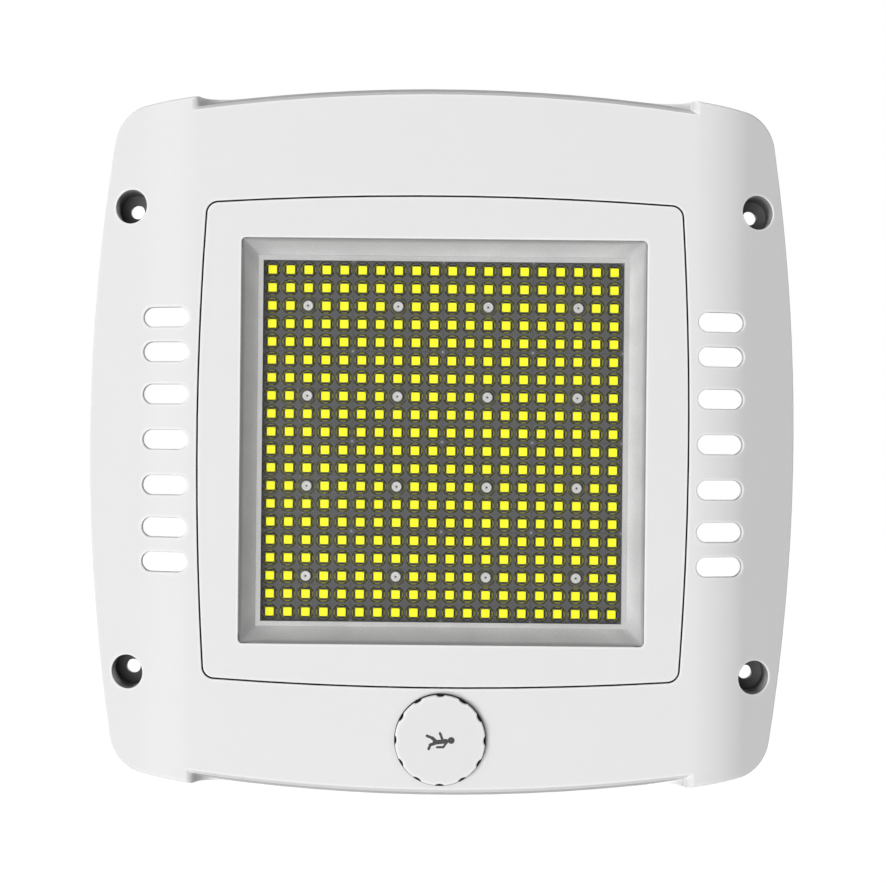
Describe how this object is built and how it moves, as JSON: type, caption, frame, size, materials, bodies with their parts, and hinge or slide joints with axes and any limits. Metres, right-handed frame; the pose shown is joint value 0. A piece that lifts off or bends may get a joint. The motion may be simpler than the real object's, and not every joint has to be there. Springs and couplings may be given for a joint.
{
  "type": "led canopy light",
  "caption": "Square flush-mounted canopy light with swept vented wings, a framed window over a lens field, a screwed sensor cap, and a finned heat sink with driver box behind.",
  "frame": {"origin": "middle of the four mounting holes, in the plane of the housing's back rim", "axes": "+Y into the canopy, away from the lit face; +Z towards the edge away from the sensor cap; +X to the right seen from the lit face"},
  "size_m": [0.32, 0.0941, 0.32],
  "materials": {
    "white_paint": "satin powder coat",
    "white_plastic": "smooth moulded",
    "reflector": "satin grey",
    "black_rubber": "matte",
    "clear_glass": "tempered clear",
    "clear_lens": "clear moulded",
    "led_phosphor": "yellow phosphor",
    "led_board": "solder mask over aluminium",
    "grey_pad": "matte",
    "bare_aluminium": "die cast",
    "steel": "zinc plated",
    "grey_nylon": "moulded nylon",
    "socket_plastic": "moulded",
    "green_board": "solder mask",
    "tin_can": "tinned"
  },
  "bodies": {
    "housing": {"front_housing": "white_paint", "door_frame": "white_paint", "door_gasket": "black_rubber", "door_screws": "steel", "reflector_frame": "reflector", "glass_gasket": "black_rubber", "glass_pane": "clear_glass", "glass_retainer": "steel", "window_screws": "steel", "lens_array_01": "clear_lens", "lens_array_02": "clear_lens", "lens_array_03": "clear_lens", "lens_array_04": "clear_lens", "lens_array_05": "clear_lens", "lens_array_06": "clear_lens", "lens_array_07": "clear_lens", "lens_array_08": "clear_lens", "lens_array_09": "clear_lens", "lens_array_10": "clear_lens", "lens_array_11": "clear_lens", "lens_array_12": "clear_lens", "lens_array_13": "clear_lens", "lens_array_14": "clear_lens", "lens_array_15": "clear_lens", "lens_array_16": "clear_lens", "led_chips": "led_phosphor", "led_board": "led_board", "thermal_pad": "grey_pad", "lens_screws": "steel", "body_gasket": "black_rubber", "heat_sink": "bare_aluminium", "heat_sink_screws": "steel", "driver_box": "white_paint", "box_screws": "steel", "cover_gasket": "black_rubber", "rear_cover": "white_paint", "cover_screws": "steel", "driver": "bare_aluminium", "driver_screws": "steel", "terminal_block": "grey_nylon", "terminal_screws": "steel", "earth_screw": "steel", "gland_body": "grey_nylon", "gland_washer": "black_rubber", "gland_locknut": "grey_nylon", "gland_dome_nut": "grey_nylon", "gland_seal": "black_rubber", "breather_valve": "grey_nylon", "lead_grommet": "black_rubber", "sensor_grommet": "black_rubber", "sensor_socket": "socket_plastic", "socket_nut": "socket_plastic", "sensor_board": "green_board", "sensor_module": "tin_can"},
    "cap_ring": {"cap_seal": "black_rubber"},
    "cap": {"sensor_cap": "white_plastic"}
  },
  "joints": [
    {"name": "cap_lift", "type": "slide", "parent": "housing", "child": "cap_ring", "axis": [0, -1, 0], "range_m": [0, 0.00826]},
    {"name": "cap_turn", "type": "hinge", "parent": "cap_ring", "child": "cap", "pos_m": [0, -0.037, -0.13165], "axis": [0, -1, 0], "range_deg": [0, 990]}
  ],
  "couplings": [
    {"joint": "cap_lift", "follows": "cap_turn", "m_per_rad": 0.00047746}
  ]
}
